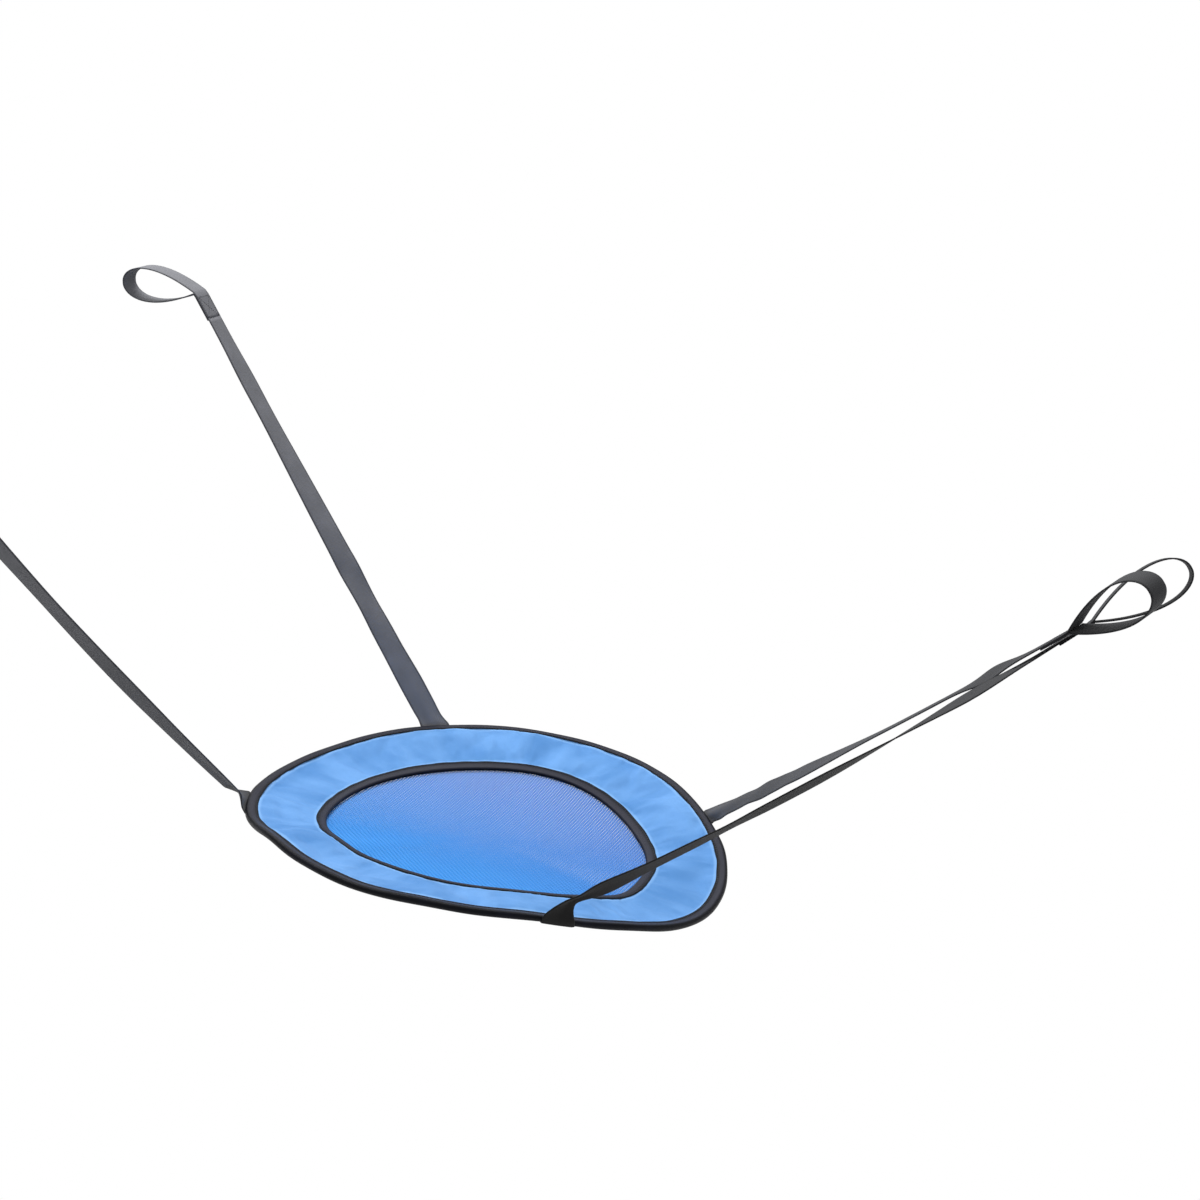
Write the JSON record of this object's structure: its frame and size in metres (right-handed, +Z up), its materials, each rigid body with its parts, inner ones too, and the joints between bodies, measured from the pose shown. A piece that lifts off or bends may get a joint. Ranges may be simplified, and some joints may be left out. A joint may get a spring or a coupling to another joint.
{
  "type": "hand-held toss net",
  "caption": "Round see-through mesh net in a soft bound border, held taut by webbing straps with hand loops, for tossing and catching a ball.",
  "frame": {"origin": "middle of the bound rim's circle, at the rim's mean height", "axes": "+Z up; +Y away from the viewer, towards the back strap; +X to the viewer's right, the side on which the rim hangs lower"},
  "size_m": [1.0655, 0.8354, 0.5853],
  "materials": {
    "blue_mesh": "fine open-woven polyester mesh",
    "blue_border": "smooth soft coated fabric, light blue",
    "dark_tape": "folded stretch binding tape, near black",
    "filler_cord": "soft braided filler cord",
    "dark_thread": "polyester sewing thread",
    "grey_webbing": "flat woven polypropylene webbing, dark grey"
  },
  "bodies": {
    "net": {"mesh_panel": "blue_mesh", "border_band": "blue_border", "outer_binding": "dark_tape", "inner_binding": "dark_tape", "rim_cord": "filler_cord", "outer_thread": "dark_thread", "inner_thread": "dark_thread", "tab_bar_tacks": "dark_thread", "strap_tab_left": "grey_webbing", "strap_tab_back": "grey_webbing", "strap_tab_right": "grey_webbing", "strap_tab_front": "grey_webbing"},
    "left_strap": {"strap_left": "grey_webbing", "loop_stitches_left": "dark_thread"},
    "left_loop": {"hand_loop_left": "grey_webbing"},
    "back_strap": {"strap_back": "grey_webbing", "loop_stitches_back": "dark_thread"},
    "back_loop": {"hand_loop_back": "grey_webbing"},
    "right_strap": {"strap_right": "grey_webbing", "loop_stitches_right": "dark_thread"},
    "right_loop": {"hand_loop_right": "grey_webbing"},
    "front_strap": {"strap_front": "grey_webbing", "loop_stitches_front": "dark_thread"},
    "front_loop": {"hand_loop_front": "grey_webbing"}
  },
  "joints": [
    {"name": "left_strap_swing", "type": "hinge", "parent": "net", "child": "left_strap", "pos_m": [-0.24649, -0.03027, 0.02873], "axis": [0.1619, -0.9803, 0.1127], "range_deg": [-70, 140]},
    {"name": "left_loop_turn", "type": "hinge", "parent": "left_strap", "child": "left_loop", "pos_m": [-0.38324, -0.38839, 0.43695], "axis": [0.9019, -0.426, -0.0716], "range_deg": [-90, 90]},
    {"name": "back_strap_swing", "type": "hinge", "parent": "net", "child": "back_strap", "pos_m": [-0.0756, 0.23546, 0.01709], "axis": [-0.9513, -0.3063, 0.0348], "range_deg": [-55, 150]},
    {"name": "back_loop_turn", "type": "hinge", "parent": "back_strap", "child": "back_loop", "pos_m": [-0.33569, 0.32961, 0.50401], "axis": [-0.3687, -0.9294, -0.0172], "range_deg": [-145, 35]},
    {"name": "right_strap_swing", "type": "hinge", "parent": "net", "child": "right_strap", "pos_m": [0.23479, 0.07765, -0.03104], "axis": [-0.3083, 0.936, 0.1698], "range_deg": [-55, 0]},
    {"name": "right_loop_turn", "type": "hinge", "parent": "right_strap", "child": "right_loop", "pos_m": [0.52796, -0.26926, 0.29653], "axis": [0.6822, 0.7161, 0.1478], "range_deg": [-90, 30]},
    {"name": "front_strap_swing", "type": "hinge", "parent": "net", "child": "front_strap", "pos_m": [0.07642, -0.2352, -0.00442], "axis": [0.9154, 0.2974, -0.2711], "range_deg": [0, 150]},
    {"name": "front_loop_turn", "type": "hinge", "parent": "front_strap", "child": "front_loop", "pos_m": [0.55023, -0.24264, 0.29399], "axis": [0.1813, 0.9472, -0.2643], "range_deg": [-30, 90]}
  ]
}
